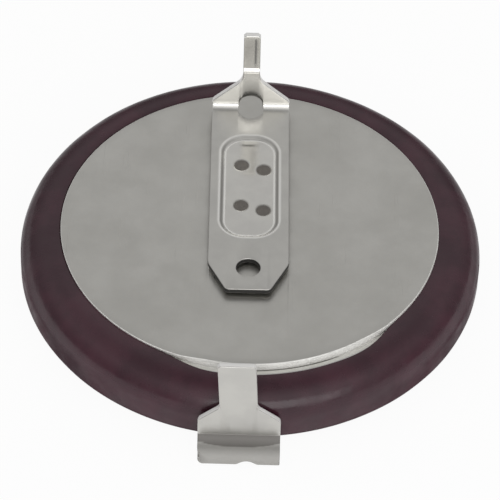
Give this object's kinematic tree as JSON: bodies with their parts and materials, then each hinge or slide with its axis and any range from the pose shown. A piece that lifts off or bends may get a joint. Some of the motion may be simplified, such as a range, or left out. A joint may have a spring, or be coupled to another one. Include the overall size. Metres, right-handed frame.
{
  "type": "tabbed lithium coin cell",
  "caption": "Round lithium coin cell in a dark shrink sleeve, with a metal strap welded to each face and bent up into solder pins.",
  "frame": {"origin": "on the cell's axis, in the plane that the lower strap rests on", "axes": "+Z along the cell's axis, from the can's base to the cap and the way both pins point; +Y from the axis to the negative pin, which is opposite the positive pin"},
  "size_m": [0.0234, 0.0248, 0.0089],
  "materials": {
    "can_steel": "satin nickel-plated stainless steel",
    "cap_steel": "matte nickel-plated stainless steel with fine rub marks",
    "gasket_plastic": "natural moulded polypropylene",
    "cathode_mix": "pressed dark powder",
    "ring_steel": "plain stainless steel",
    "separator_felt": "white non-woven felt",
    "lithium_metal": "soft grey metal, faintly rolled",
    "shrink_film": "dark maroon shrink film, glossy with faint ripples",
    "tab_nickel": "bright nickel-plated sheet with rounded sheared edges"
  },
  "bodies": {
    "root": {"positive_can": "can_steel", "negative_cap": "cap_steel", "sealing_gasket": "gasket_plastic", "cathode_pellet": "cathode_mix", "collector_ring": "ring_steel", "separator_disc": "separator_felt", "lithium_disc": "lithium_metal", "insulating_sleeve": "shrink_film", "negative_tab": "tab_nickel", "positive_tab": "tab_nickel"}
  },
  "joints": []
}
